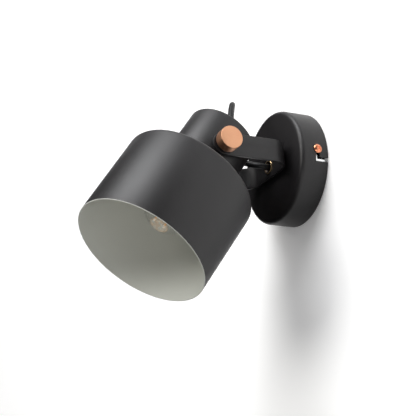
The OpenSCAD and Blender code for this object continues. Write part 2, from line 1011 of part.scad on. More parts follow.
module bulb_filaments() {
    rise = filament_high - filament_low;
    lean = atan2(filament_ring_high_r - filament_ring_low_r, rise);
    color("#e8a23c")
        along_beam()
            for (k = [0 : filament_count - 1])
                rotate([0, 0, 360 * (k + 1 / 2) / filament_count])
                    translate([filament_ring_low_r, 0, filament_low])
                        rotate([0, lean, 0])
                            cylinder(r = filament_r, h = rise / cos(lean), $fn = fn_small);
}

module flex_cable() {
    color("#1c1c1e")
        swept_tube(cable_route, cable_r, cable_sides, [1, 0, 0]);
}

canopy();
mounting_bar();
canopy_screws();
terminal_block();
terminal_inserts();
terminal_screws();
block_screws();
earth_screw();
core_wires();
cord_stop();
swivel_bush();
bush_nut();
lock_washer();
spacer_washer();
u_bracket();
knob_washers();
knob_right();
stud_right();
knob_left();
stud_left();
friction_washers();
saddle_washers();
pivot_nuts();
neck_cup();
cable_gland();
entry_nipple();
nipple_nut();
holder_cap();
holder_body();
holder_insert();
screw_shell();
centre_contact();
shade_ring();
shade();
bulb_cap();
bulb_insulator();
bulb_contact();
bulb_glass();
bulb_stem();
bulb_filaments();
flex_cable();
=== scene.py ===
# Pivoting spotlight wall light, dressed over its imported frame
import json
from math import asin, cos, pi, radians, sin, tan

import bmesh
import bpy
from mathutils import Matrix, Vector


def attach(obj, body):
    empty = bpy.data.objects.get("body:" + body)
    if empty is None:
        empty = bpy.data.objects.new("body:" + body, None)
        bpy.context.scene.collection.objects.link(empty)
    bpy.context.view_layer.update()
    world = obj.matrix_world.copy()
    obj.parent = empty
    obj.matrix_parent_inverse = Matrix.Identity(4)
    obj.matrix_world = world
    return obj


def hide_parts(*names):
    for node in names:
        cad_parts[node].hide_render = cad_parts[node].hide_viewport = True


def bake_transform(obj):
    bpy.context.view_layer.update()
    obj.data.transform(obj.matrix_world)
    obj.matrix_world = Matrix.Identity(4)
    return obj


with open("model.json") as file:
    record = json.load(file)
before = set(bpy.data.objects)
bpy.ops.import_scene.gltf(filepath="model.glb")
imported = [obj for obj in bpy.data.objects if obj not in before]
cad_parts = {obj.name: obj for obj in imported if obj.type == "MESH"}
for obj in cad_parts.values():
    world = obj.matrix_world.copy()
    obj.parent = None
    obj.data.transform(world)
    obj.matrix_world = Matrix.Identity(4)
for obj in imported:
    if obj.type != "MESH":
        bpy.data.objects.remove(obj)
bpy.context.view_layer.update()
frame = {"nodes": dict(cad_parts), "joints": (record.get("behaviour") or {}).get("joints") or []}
scene = bpy.context.scene
scene.view_settings.view_transform = "Standard"
mm = 0.001

# The places that the pieces hang on. The wall is y = 0 and the light stands off it towards -Y.
tiltAxis = Vector(next(j["pos_m"] for j in frame["joints"] if j["name"] == "head_tilt"))
beamDrop = 54  # degrees below the horizontal
offWall = Matrix.Rotation(radians(90), 4, "X")
alongBeam = Matrix.Translation(tiltAxis) @ Matrix.Rotation(radians(90 + beamDrop), 4, "X")


def alongTilt(side):
    return Matrix.Translation(tiltAxis) @ Matrix.Rotation(radians(90 * side), 4, "Y")


def millimetres(x, y, z):
    return Vector((x, y, z)) * mm


# Camera

viewpoint = {
    "azimuth": 61.78,
    "elevation": -20.3,
    "roll": -3.97,
    "distance": 1200,
    "aim": (-38.19, -72.16, -28.99),
    "lens": 118.55,
    "sensor": 36,
    "near": 50,
    "far": 50000,
}


def makeCamera():
    azimuth = radians(viewpoint["azimuth"])
    elevation = radians(viewpoint["elevation"])
    roll = radians(viewpoint["roll"])
    back = Vector((sin(azimuth) * cos(elevation), -cos(azimuth) * cos(elevation), sin(elevation)))
    level = Vector((cos(azimuth), sin(azimuth), 0))
    upright = back.cross(level)
    right = level * cos(roll) + upright * sin(roll)
    up = upright * cos(roll) - level * sin(roll)
    data = bpy.data.cameras.new("camera")
    data.lens = viewpoint["lens"]
    data.sensor_width = viewpoint["sensor"]
    data.clip_start = viewpoint["near"] * mm
    data.clip_end = viewpoint["far"] * mm
    camera = bpy.data.objects.new("camera", data)
    scene.collection.objects.link(camera)
    turn = Matrix((right, up, back)).transposed().to_4x4()
    place = millimetres(*viewpoint["aim"]) + back * viewpoint["distance"] * mm
    camera.matrix_world = Matrix.Translation(place) @ turn
    scene.camera = camera


makeCamera()
print("camera stands at the photograph's angle")


# Shader maths as plain expressions

class Wire:
    # one output of a node; + - * and ** on it add Math nodes
    def __init__(self, finish, socket):
        self.finish = finish
        self.socket = socket

    def maths(self, operation, *values):
        return self.finish.node("ShaderNodeMath", {"operation": operation}, dict(enumerate(values)))

    def __add__(self, other):
        return self.maths("ADD", self, other)

    def __radd__(self, other):
        return self.maths("ADD", other, self)

    def __sub__(self, other):
        return self.maths("SUBTRACT", self, other)

    def __rsub__(self, other):
        return self.maths("SUBTRACT", other, self)

    def __mul__(self, other):
        return self.maths("MULTIPLY", self, other)

    def __pow__(self, other):
        return self.maths("POWER", self, other)

    def __neg__(self):
        return self.maths("MULTIPLY", self, -1.0)

    def above(self, limit):
        return self.maths("GREATER_THAN", self, limit)

    def wave(self):
        return self.maths("SINE", self)

    def ramp(self, low, high):
        # 0 below low, 1 above high, smooth between
        return self.finish.node("ShaderNodeMapRange", {"interpolation_type": "SMOOTHSTEP"},
                                {"Value": self, "From Min": low, "From Max": high})


class Finish:
    # a material or world in the making: its nodes and its own shader
    def __init__(self, owner, shader="Principled BSDF"):
        owner.use_nodes = True
        self.owner = owner
        self.tree = owner.node_tree
        self.shader = self.tree.nodes[shader]
        self.spot = self.node("ShaderNodeTexCoord", output="Object")

    def node(self, kind, settings=None, sockets=None, output=0):
        made = self.tree.nodes.new(kind)
        for setting, value in (settings or {}).items():
            setattr(made, setting, value)
        for socket, value in (sockets or {}).items():
            self.feed(made.inputs[socket], value)
        return Wire(self, made.outputs[output])

    def feed(self, socket, value):
        if isinstance(value, Wire):
            self.tree.links.new(value.socket, socket)
        else:
            socket.default_value = value

    def surface(self, sockets):
        for socket, value in sockets.items():
            self.feed(self.shader.inputs[socket], value)
        return self.owner

    def axes(self):
        # the x, y and z of the place that is shaded, as three wires
        split = self.node("ShaderNodeSeparateXYZ", {}, {"Vector": self.spot})
        outputs = split.socket.node.outputs
        return [Wire(self, outputs[axis]) for axis in ("X", "Y", "Z")]

    def point(self, x, y, z):
        return self.node("ShaderNodeCombineXYZ", {}, {"X": x, "Y": y, "Z": z})

    def noise(self, scale, detail, roughness, spot=None):
        return self.node("ShaderNodeTexNoise", {"noise_dimensions": "3D"},
                         {"Vector": spot or self.spot, "Scale": scale, "Detail": detail,
                          "Roughness": roughness}, "Fac")

    def cells(self, scale, output="Distance"):
        return self.node("ShaderNodeTexVoronoi", {"voronoi_dimensions": "3D"},
                         {"Vector": self.spot, "Scale": scale}, output)

    def blend(self, share, first, second):
        return self.node("ShaderNodeMix", {"data_type": "RGBA"}, {0: share, 6: first, 7: second}, 2)

    def bump(self, height, depth, strength):
        return self.node("ShaderNodeBump", {},
                         {"Height": height, "Distance": depth, "Strength": strength})


def newFinish(name):
    return Finish(bpy.data.materials.new(name))


def colour(red, green, blue):
    # display values from 0 to 255, made linear
    def linear(value):
        share = value / 255
        return share / 12.92 if share <= 0.04045 else ((share + 0.055) / 1.055) ** 2.4
    return (linear(red), linear(green), linear(blue), 1)


# Finishes

powder = {
    "dark": (19, 18, 19),
    "light": (29, 27, 29),
    "grain": 2600,  # fine pebbles of the coat, per metre
    "peel": 520,  # slow waves of the coat
    "roughness": 0.42,
    "gloss": 0.48,
}


def powderCoat(name):
    finish = newFinish(name)
    grain = finish.noise(powder["grain"], 2.0, 0.6)
    peel = finish.noise(powder["peel"], 1.0, 0.4)
    cloud = finish.noise(28, 3.0, 0.55)
    height = grain * 0.7 + peel * 0.9
    return finish.surface({
        "Base Color": finish.blend(grain * 0.6 + cloud * 0.5, colour(*powder["dark"]),
                                   colour(*powder["light"])),
        "Roughness": powder["roughness"] - 0.04 + grain * 0.1 + cloud * 0.06,
        "Specular IOR Level": powder["gloss"],
        "Normal": finish.bump(height, 0.00006, 0.55),
    })


lining = {
    "dark": (218, 220, 212),
    "light": (227, 229, 222),
    "speck": (170, 166, 158),
    "roughness": 0.5,
}


def lampWhite(name):
    finish = newFinish(name)
    peel = finish.noise(700, 2.0, 0.5)
    cloud = finish.noise(22, 3.0, 0.6)
    specks = finish.noise(1900, 1.0, 0.5).ramp(0.72, 0.8)
    base = finish.blend(cloud, colour(*lining["dark"]), colour(*lining["light"]))
    base = finish.blend(specks * 0.25, base, colour(*lining["speck"]))
    return finish.surface({
        "Base Color": base,
        "Roughness": lining["roughness"] + cloud * 0.12,
        "Normal": finish.bump(peel, 0.00005, 0.35),
    })


copper = {
    "light": (212, 162, 129),
    "dark": (199, 145, 112),
    "fleck": (176, 108, 82),
    "marks": 5200,  # the tool's fine marks and slow waves, per metre
    "waves": 900,
    "roughness": 0.34,
}


def turnedCopper(name):
    # the tool's marks run round the tilt axis
    finish = newFinish(name)
    x, y, z = finish.axes()
    radius = ((y - tiltAxis.y) ** 2 + (z - tiltAxis.z) ** 2) ** 0.5

    def turned(scale, detail, roughness):
        return finish.noise(1.0, detail, roughness, finish.point(x * scale, radius * scale, 0.0))

    marks = turned(copper["marks"], 2.0, 0.6)
    broad = turned(copper["waves"], 1.0, 0.5)
    grain = finish.noise(3400, 2.0, 0.6)
    tarnish = finish.noise(120, 3.0, 0.6)
    base = finish.blend(tarnish * 0.8, colour(*copper["light"]), colour(*copper["dark"]))
    base = finish.blend(grain.ramp(0.55, 0.75) * 0.3, base, colour(*copper["fleck"]))
    return finish.surface({
        "Base Color": base,
        "Metallic": 1.0,
        "Roughness": copper["roughness"] + marks * 0.12 + grain * 0.08,
        "Normal": finish.bump(marks * 0.5 + broad * 0.6 + grain * 0.5, 0.00003, 0.6),
    })


def satinMetal(name, light, dark, roughness):
    finish = newFinish(name)
    grain = finish.noise(2600, 3.0, 0.6)
    stain = finish.noise(180, 3.0, 0.6)
    return finish.surface({
        "Base Color": finish.blend(stain, colour(*light), colour(*dark)),
        "Metallic": 1.0,
        "Roughness": roughness + grain * 0.14,
        "Normal": finish.bump(grain, 0.00003, 0.5),
    })


bush = {
    "light": (226, 200, 160),
    "dark": (196, 164, 116),
    # painted shade of the bore: a dull dark brown inside the mouth
    "paintedBoreShade": (46, 32, 22),
    "mouth": 5.0,  # radius inside which the bore is painted dark, as painted shade
    "head": 5.2,  # radius from which it is bright
}


def bushBrassPaintedShade(name):
    # bright on the head; in the mouth and bore a dull brown that is painted shade
    finish = newFinish(name)
    x, y, z = finish.axes()
    grain = finish.noise(2600, 3.0, 0.6)
    stain = finish.noise(180, 3.0, 0.6)
    # 1 on the bright head, 0 in the mouth and bore, where the shade is painted
    head = ((x * x + z * z) ** 0.5).ramp(bush["mouth"] * mm, bush["head"] * mm)
    bright = finish.blend(stain, colour(*bush["light"]), colour(*bush["dark"]))
    return finish.surface({
        "Base Color": finish.blend(head, colour(*bush["paintedBoreShade"]), bright),
        "Metallic": head * 0.7 + 0.3,
        "Roughness": 0.6 - head * 0.32 + grain * 0.14,
        "Normal": finish.bump(grain, 0.00003, 0.5),
    })


zinc = {
    "dark": (168, 170, 172),
    "light": (202, 203, 204),
    "crystals": 380,  # per metre
    "roughness": 0.32,
}


def zincPlate(name):
    finish = newFinish(name)
    crystals = finish.cells(zinc["crystals"], "Color")
    tone = finish.node("ShaderNodeRGBToBW", {}, {"Color": crystals})
    grain = finish.noise(3000, 2.0, 0.6)
    return finish.surface({
        "Base Color": finish.blend(tone, colour(*zinc["dark"]), colour(*zinc["light"])),
        "Metallic": 1.0,
        "Roughness": zinc["roughness"] + tone * 0.12 + grain * 0.08,
        "Normal": finish.bump(grain + tone * 0.4, 0.00002, 0.5),
    })


def mouldedPlastic(name, light, dark, roughness):
    finish = newFinish(name)
    grain = finish.noise(3200, 2.0, 0.6)
    cloud = finish.noise(60, 2.0, 0.5)
    return finish.surface({
        "Base Color": finish.blend(cloud, colour(*light), colour(*dark)),
        "Roughness": roughness + grain * 0.12,
        "Normal": finish.bump(grain, 0.00003, 0.4),
    })


sheath = {
    "dark": (9, 9, 10),
    "light": (16, 16, 18),
    "roughness": 0.34,
    "gloss": 0.3,
}


def flexSheath(name):
    finish = newFinish(name)
    ripple = finish.noise(420, 2.0, 0.5)
    grain = finish.noise(4200, 2.0, 0.6)
    return finish.surface({
        "Base Color": finish.blend(ripple, colour(*sheath["dark"]), colour(*sheath["light"])),
        "Roughness": sheath["roughness"] + grain * 0.12 + ripple * 0.08,
        "Specular IOR Level": sheath["gloss"],
        "Normal": finish.bump(ripple * 0.8 + grain * 0.3, 0.00005, 0.5),
    })


cores = {
    "brown": (96, 56, 34),
    "green": (58, 128, 44),
    "yellow": (214, 190, 40),
    "blue": (36, 70, 150),
    "middle": 0.8,  # the striped one's half width
    "stripes": 1900,
}


def coreColours(name):
    # brown, striped green and yellow, and blue, side by side along X
    finish = newFinish(name)
    x, y, z = finish.axes()
    grain = finish.noise(2500, 2.0, 0.5)
    stripes = ((x + y * 0.4 + z * 0.5) * cores["stripes"]).wave().above(0.0)
    middle = finish.blend(stripes, colour(*cores["green"]), colour(*cores["yellow"]))
    leftHalf = finish.blend(x.above(-cores["middle"] * mm), colour(*cores["brown"]), middle)
    return finish.surface({
        "Base Color": finish.blend(x.above(cores["middle"] * mm), leftHalf, colour(*cores["blue"])),
        "Roughness": 0.42 + grain * 0.1,
        "Normal": finish.bump(grain, 0.00002, 0.4),
    })


def alongHead(finish):
    # the distance along the beam from the tilt axis, and the one off the beam's middle
    x, y, z = finish.axes()
    back, rise = y - tiltAxis.y, z - tiltAxis.z
    drop = radians(beamDrop)
    along = -(back * cos(drop) + rise * sin(drop))
    across = rise * cos(drop) - back * sin(drop)
    return along, (x * x + across * across) ** 0.5


glass = {
    "tone": (214, 218, 212),
    "reflectedAmber": (238, 196, 150),
    "reflectedPale": (214, 222, 214),
    # the painted reflection at the tip glows by this much, as painted light
    "glow": 0.4,
    "film": 0.03,  # the share of its wall that shows where it is looked at squarely,
    "edge": 0.5,  # what its edge adds to that
    "tip": 0.16,  # and what its tip adds, where a reflection of the filaments' ends is painted on it
    "tipRadius": 9,
    "tipFade": 1.5,
    "tipStart": 70,  # from the tilt axis along the beam
    "rimWidth": 2.5,  # the painted reflection's amber round the tip fades out over this much,
    "rimSolid": 1,  # of which so much is plain
}


def clearGlass(name):
    # a wall too thin to bend light: mostly clear, with a pale film and a mirroring surface, and a
    # painted reflection at its tip, in amber and pale patches, that glows
    finish = newFinish(name)
    along, off = alongHead(finish)
    ripple = finish.noise(90, 1.0, 0.4)
    dust = finish.noise(900, 3.0, 0.6)
    facing = finish.node("ShaderNodeLayerWeight", {}, {"Blend": 0.3}, "Facing")
    radius = glass["tipRadius"]
    outside = off.ramp((radius - glass["tipFade"]) * mm, radius * mm)
    # painted reflection: a disc at the tip, amber round its rim and pale in patches, also used as a
    # glow
    paintedReflectionTip = along.above(glass["tipStart"] * mm) * (1.0 - outside)
    rim = off.ramp((radius - glass["rimWidth"]) * mm, (radius - glass["rimSolid"]) * mm)
    patches = finish.noise(330, 1.0, 0.5).ramp(0.42, 0.6)
    paintedReflection = finish.blend(patches * (1.0 - rim), colour(*glass["reflectedAmber"]), colour(*glass["reflectedPale"]))
    finish.surface({
        "Base Color": finish.blend(paintedReflectionTip, colour(*glass["tone"]), paintedReflection),
        "Emission Color": finish.blend(paintedReflectionTip, colour(0, 0, 0), paintedReflection),
        "Emission Strength": glass["glow"],
        "Roughness": 0.03 + dust.ramp(0.55, 0.8) * 0.05,
        "IOR": 1.45,
        "Normal": finish.bump(ripple, 0.0002, 0.2),
    })
    shows = (glass["film"] + facing ** 3 * glass["edge"]
             + paintedReflectionTip * (patches * 0.5 + 0.7) * glass["tip"])
    clear = finish.node("ShaderNodeBsdfTransparent")
    wall = Wire(finish, finish.shader.outputs[0])
    finish.feed(finish.tree.nodes["Material Output"].inputs["Surface"],
                finish.node("ShaderNodeMixShader", {}, {0: shows, 1: clear, 2: wall}))
    return finish.owner


filament = {
    "chip": (236, 196, 142),
    "coat": (214, 158, 100),
    "end": (240, 242, 238),
    # the glow colours and strength are painted light: the filaments glow though the bulb is off
    "glowLight": (226, 176, 120),
    "glowDark": (206, 150, 90),
    "glowEnd": (206, 209, 203),
    "glow": 0.25,
    "tip": 75.2,  # from the tilt axis along the beam, where the coat ends
    "tipFade": 0.2,
}


def filamentPhosphor(name):
    # a cream coat with the row of chips showing through, and bare pale ends, both glowing faintly
    # as painted light
    finish = newFinish(name)
    along, off = alongHead(finish)
    chips = finish.cells(900)
    grain = finish.noise(3000, 2.0, 0.5)
    coat = finish.blend(chips.ramp(0.2, 0.5), colour(*filament["chip"]), colour(*filament["coat"]))
    tip = along.ramp(filament["tip"] * mm, (filament["tip"] + filament["tipFade"]) * mm)
    glow = finish.blend(grain, colour(*filament["glowLight"]), colour(*filament["glowDark"]))
    return finish.surface({
        "Base Color": finish.blend(tip, coat, colour(*filament["end"])),
        "Roughness": 0.4 + grain * 0.1,
        "Emission Color": finish.blend(tip, glow, colour(*filament["glowEnd"])),
        "Emission Strength": filament["glow"],
        "Normal": finish.bump(grain, 0.00003, 0.4),
    })


finishes = {
    "powder": powderCoat("powderCoat"),
    "lining": lampWhite("lampWhite"),
    "knobCopper": turnedCopper("turnedCopper"),
    "screwCopper": satinMetal("screwCopper", (240, 160, 122), (220, 140, 104), 0.24),
    "brass": satinMetal("satinBrass", (214, 186, 140), (190, 158, 108), 0.26),
    "nickel": satinMetal("nickelCap", (212, 210, 205), (186, 184, 180), 0.24),
    "bushBrassPaintedShade": bushBrassPaintedShade("bushBrassPaintedShade"),
    "zinc": zincPlate("zincPlate"),
    "barZinc": satinMetal("barZinc", (238, 239, 239), (224, 226, 228), 0.06),
    "blackPlastic": mouldedPlastic("blackPlastic", (26, 26, 27), (36, 36, 37), 0.45),
    "whitePlastic": mouldedPlastic("whitePlastic", (226, 223, 214), (214, 210, 200), 0.4),
    "flex": flexSheath("flexSheath"),
    "cores": coreColours("coreColours"),
    "glass": clearGlass("clearGlass"),
    "filament": filamentPhosphor("filamentPhosphor"),
}
print("finishes:", len(finishes))


# Making pieces

filletSteps = 6  # in half a turn, and twice as many above a radius of 1 mm


def rounded(corners, closed):
    # corners are (radius, height, fillet) in millimetres; each fillet becomes an arc
    points = []
    count = len(corners)
    for i, (across, along, fillet) in enumerate(corners):
        corner = Vector((across, along, 0))
        if not fillet or (not closed and i in (0, count - 1)):
            points.append(corner)
            continue
        before = (Vector(corners[i - 1][:2]).to_3d() - corner).normalized()
        after = (Vector(corners[(i + 1) % count][:2]).to_3d() - corner).normalized()
        half = before.angle(after) / 2
        centre = corner + (before + after).normalized() * fillet / sin(half)
        start = (corner + before * fillet / tan(half) - centre).normalized()
        end = (corner + after * fillet / tan(half) - centre).normalized()
        steps = max(2, round((pi - 2 * half) * filletSteps / pi * (2 if fillet > 1 else 1)))
        for step in range(steps + 1):
            points.append(centre + start.slerp(end, step / steps) * fillet)
    return points


def spun(corners, segments, closed=True):
    # a profile of radius and height turned all round Z
    bm = bmesh.new()
    ring = [bm.verts.new((p.x * mm, 0, p.y * mm)) for p in rounded(corners, closed)]
    pairs = list(zip(ring, ring[1:]))
    if closed:
        pairs.append((ring[-1], ring[0]))
    edges = [bm.edges.new(pair) for pair in pairs]
    bmesh.ops.spin(bm, geom=ring + edges, cent=(0, 0, 0), axis=(0, 0, 1), angle=2 * pi,
                   steps=segments, use_merge=True, use_duplicate=False)
    bmesh.ops.remove_doubles(bm, verts=bm.verts, dist=1e-7)
    bmesh.ops.recalc_face_normals(bm, faces=bm.faces)
    return bm


def raisedBy(bm, height):
    # makes a flat outline a solid of that height
    raised = bmesh.ops.extrude_face_region(bm, geom=list(bm.faces), use_keep_orig=True)
    bmesh.ops.translate(bm, verts=[v for v in raised["geom"] if isinstance(v, bmesh.types.BMVert)],
                        vec=(0, 0, height))


def newObject(name, bm, place):
    bm.transform(place)
    mesh = bpy.data.meshes.new(name)
    bm.to_mesh(mesh)
    bm.free()
    piece = bpy.data.objects.new(name, mesh)
    scene.collection.objects.link(piece)
    return piece


def finishPiece(piece, looks, body, nodes, crease=30):
    # crease is the angle in degrees from which an edge looks sharp
    for look in looks:
        piece.data.materials.append(finishes[look])
    piece.data.shade_smooth()
    piece.data.set_sharp_from_angle(angle=radians(crease))
    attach(piece, body)
    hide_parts(*nodes)


def carved(piece, cutters):
    # cuts each cutter out of the piece and removes it
    for cutter in cutters:
        cut = piece.modifiers.new("cut", "BOOLEAN")
        cut.operation = "DIFFERENCE"
        cut.solver = "EXACT"
        cut.object = cutter
    bpy.context.view_layer.update()
    depsgraph = bpy.context.evaluated_depsgraph_get()
    mesh = bpy.data.meshes.new_from_object(piece.evaluated_get(depsgraph))
    piece.modifiers.clear()
    piece.data = mesh
    for cutter in cutters:
        bpy.data.objects.remove(cutter)


# Flex: the route repeats the part's own points

flex = {
    "diameter": 5.4,
    "smooth": 6,  # steps between two points of the route
    "sides": 8,
    # along the line between these it goes over from the head's turn to the bracket's
    "bendStart": (-3.1, -67.6, 22.3),
    "bendEnd": (-9.3, -34.7, 23.1),
}


def behindTilt(distance):
    drop = radians(beamDrop)
    return tiltAxis + Vector((0, cos(drop), sin(drop))) * distance * mm


flexRoute = [behindTilt(21), behindTilt(30.5), behindTilt(43), behindTilt(44)] + [
    millimetres(*point) for point in (
        (-0.5, -63.9, 40.8), (-2.2, -62.2, 46.8), (-4.6, -60.2, 52.6), (-7.6, -57.2, 58.6),
        (-12.6, -54.4, 61.2), (-18.2, -52.2, 59.6), (-22.6, -50.8, 54.6), (-25.2, -49.6, 47.6),
        (-26.6, -48.4, 40), (-26.8, -47.4, 32), (-26.2, -46.7, 24.6), (-24.1, -46.2, 18.2),
        (-20.2, -46, 12.8), (-15, -45.6, 8.5), (-9.8, -44.4, 5.1), (-5.2, -42.2, 2.5),
        (-1.8, -38.8, 0.9), (0, -34.6, 0), (0, -31, 0), (0, -24, 0), (0, -14.85, 0))]


def smoothRoute(points, steps):
    # a curve through every point, with its slope from the points on both sides
    path = []
    last = len(points) - 1
    for i in range(last):
        p0, p1, p2, p3 = (points[min(max(k, 0), last)] for k in (i - 1, i, i + 1, i + 2))
        for step in range(steps):
            t = step / steps
            path.append(0.5 * (2 * p1 + (p2 - p0) * t + (2 * p0 - 5 * p1 + 4 * p2 - p3) * t ** 2
                               + (3 * p1 - p0 - 3 * p2 + p3) * t ** 3))
    return path + [points[-1]]


def makeFlex():
    path = smoothRoute(flexRoute, flex["smooth"])
    curve = bpy.data.curves.new("flexLine", "CURVE")
    curve.dimensions = "3D"
    curve.bevel_depth = flex["diameter"] / 2 * mm
    curve.bevel_resolution = flex["sides"]
    curve.use_fill_caps = True
    line = curve.splines.new("POLY")
    line.points.add(len(path) - 1)
    for point, place in zip(line.points, path):
        point.co = (*place, 1)
    holder = bpy.data.objects.new("flexLine", curve)
    scene.collection.objects.link(holder)
    bpy.context.view_layer.update()
    depsgraph = bpy.context.evaluated_depsgraph_get()
    mesh = bpy.data.meshes.new_from_object(holder.evaluated_get(depsgraph))
    bpy.data.objects.remove(holder)
    mesh.name = "flex"
    bm = bmesh.new()
    bm.from_mesh(mesh)
    bmesh.ops.remove_doubles(bm, verts=bm.verts, dist=1e-6)
    bmesh.ops.recalc_face_normals(bm, faces=bm.faces)
    bm.to_mesh(mesh)
    bm.free()
    piece = bpy.data.objects.new("flex", mesh)
    scene.collection.objects.link(piece)
    piece.data.materials.clear()
    piece.data.materials.append(finishes["flex"])
    piece.data.shade_smooth()
    length = sum((b - a).length for a, b in zip(path, path[1:]))
    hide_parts("flex_cable")
    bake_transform(piece)
    print("flex is %.0f mm long" % (length / mm))


makeFlex()


# Shade

shade = {
    "radius": 59.25,
    "start": 27,  # from the tilt axis along the beam
    "end": 111,
    "wall": 1.0,
    "backEdge": 3.5,
    "hole": 14.2,
    "holeEdge": 0.2,
    "rim": 0.35,
    "liningRise": 4,  # the back's inside is lined up to here, over its round edge,
    "liningTilt": 0.3,  # where it looks forward at least this much
    "inward": -0.5,  # and the tube where it looks inward this much
    "segments": 192,
}


def makeShade():
    outer = shade["radius"]
    inner = outer - shade["wall"]
    back = shade["start"] + shade["wall"]
    profile = [
        (shade["hole"], shade["start"], shade["holeEdge"]),
        (outer, shade["start"], shade["backEdge"]),
        (outer, shade["end"], shade["rim"]),
        (inner, shade["end"], shade["rim"]),
        (inner, back, shade["backEdge"] - shade["wall"]),
        (shade["hole"], back, shade["holeEdge"]),
    ]
    bm = spun(profile, shade["segments"])
    for face in bm.faces:
        middle = face.calc_center_median()
        outward = Vector((middle.x, middle.y, 0)).normalized().dot(face.normal)
        atRim = middle.z > (shade["end"] - shade["rim"]) * mm
        atBack = (face.normal.z > shade["liningTilt"]
                  and middle.z < (back + shade["liningRise"]) * mm)
        face.material_index = 1 if outward < shade["inward"] or atRim or atBack else 0
    finishPiece(newObject("shadeDrum", bm, alongBeam), ["powder", "lining"], "head",
                ["shade"], 40)


makeShade()


# Neck

neck = {
    "radius": 31,
    "front": 27,
    "back": -30.5,
    "backEdge": 1.6,
    "wall": 1.0,
    "hole": 5.05,
    "rim": 0.15,
    "segments": 144,
}


def makeNeck():
    outer = neck["radius"]
    inner = outer - neck["wall"]
    inside = neck["back"] + neck["wall"]
    profile = [
        (outer, neck["front"], neck["rim"]),
        (outer, neck["back"], neck["backEdge"]),
        (neck["hole"], neck["back"], 0),
        (neck["hole"], inside, 0),
        (inner, inside, neck["backEdge"] - neck["wall"]),
        (inner, neck["front"], neck["rim"]),
    ]
    bm = spun(profile, neck["segments"])
    finishPiece(newObject("neckCup", bm, alongBeam), ["powder"], "head",
                ["neck_cup"])


makeNeck()
print("head: shade and neck")


# Canopy

canopy = {
    "radius": 50,
    "depth": 26,
    "edge": 4,
    "wall": 1.0,
    "hole": 5.05,
    "rim": 0.25,
    "segments": 192,
}
slot = {
    "width": 3.7,
    "cutInside": 2,  # the cutter starts this far inside the canopy's radius,
    "cutDeep": 3,  # is this deep
    "cutBelow": 1,  # and begins this far below its rim
    "seat": 10,  # height of the screw above the wall
    "turn": 10.4,  # degrees round the canopy between the slot's mouth and the screw
    "seatRadius": 2.1,
    "steps": 20,
}


def slotCutter(turned):
    # the outline is drawn flat, as places round the canopy and above the wall, then raised and
    # bent round
    reach = canopy["radius"] * radians(slot["turn"])
    bottom = canopy["radius"] - slot["cutInside"]
    half = slot["width"] / 2
    mouth = asin(half / slot["seatRadius"])
    left, right = -reach - half, -reach + half
    corners = [(left, -slot["cutBelow"]), (right, -slot["cutBelow"]),
               (right, slot["seat"] - half)]
    for step in range(slot["steps"] + 1):
        angle = (pi - mouth) * (2 * step / slot["steps"] - 1)
        corners.append((slot["seatRadius"] * cos(angle),
                        slot["seat"] + slot["seatRadius"] * sin(angle)))
    corners.append((left, slot["seat"] + half))
    bm = bmesh.new()
    bm.faces.new([bm.verts.new((around, above, bottom)) for around, above in corners])
    raisedBy(bm, slot["cutDeep"])
    for vert in bm.verts:
        around, above, radius = vert.co
        angle = around / canopy["radius"] + turned
        vert.co = millimetres(radius * cos(angle), radius * sin(angle), above)
    bm.normal_update()
    bmesh.ops.recalc_face_normals(bm, faces=bm.faces)
    return newObject("slotCutter", bm, offWall)


def makeCanopy():
    outer = canopy["radius"]
    inner = outer - canopy["wall"]
    inside = canopy["depth"] - canopy["wall"]
    profile = [
        (canopy["hole"], canopy["depth"], 0),
        (outer, canopy["depth"], canopy["edge"]),
        (outer, 0, canopy["rim"]),
        (inner, 0, canopy["rim"]),
        (inner, inside, canopy["edge"] - canopy["wall"]),
        (canopy["hole"], inside, 0),
    ]
    piece = newObject("canopyCup", spun(profile, canopy["segments"]), offWall)
    carved(piece, [slotCutter(0), slotCutter(pi)])
    finishPiece(piece, ["powder"], "base", ["canopy"], 40)


makeCanopy()


# Bracket: cut flat, rounded along its edges, then folded

bracket = {
    "halfWidth": 36,
    "strip": 20,
    "thickness": 2.5,
    "bend": 14.5,  # inner radius
    "backFace": 27.55,  # of its base, from the wall
    "bushHole": 5.05,
    "studHole": 4.05,
    "edge": 0.35,
    "edgeTurn": 60,  # degrees; edges that turn by more than this are rounded
    "edgeSteps": 3,
    "bendSteps": 16,
    "endSteps": 32,  # round each arm's end
    "holeSegments": 48,
}


def fold(flat):
    # flat is (along the strip, across it, depth from the outer face) in millimetres
    outer = bracket["bend"] + bracket["thickness"]
    base = bracket["halfWidth"] - outer
    arc = outer * pi / 2
    side = 1 if flat.x >= 0 else -1
    along = abs(flat.x)
    depth = outer - flat.z
    angle = min(max((along - base) / outer, 0), pi / 2)
    x = min(along, base) + depth * sin(angle)
    y = bracket["backFace"] + outer - depth * cos(angle) + max(along - base - arc, 0)
    return millimetres(side * x, -y, flat.y)


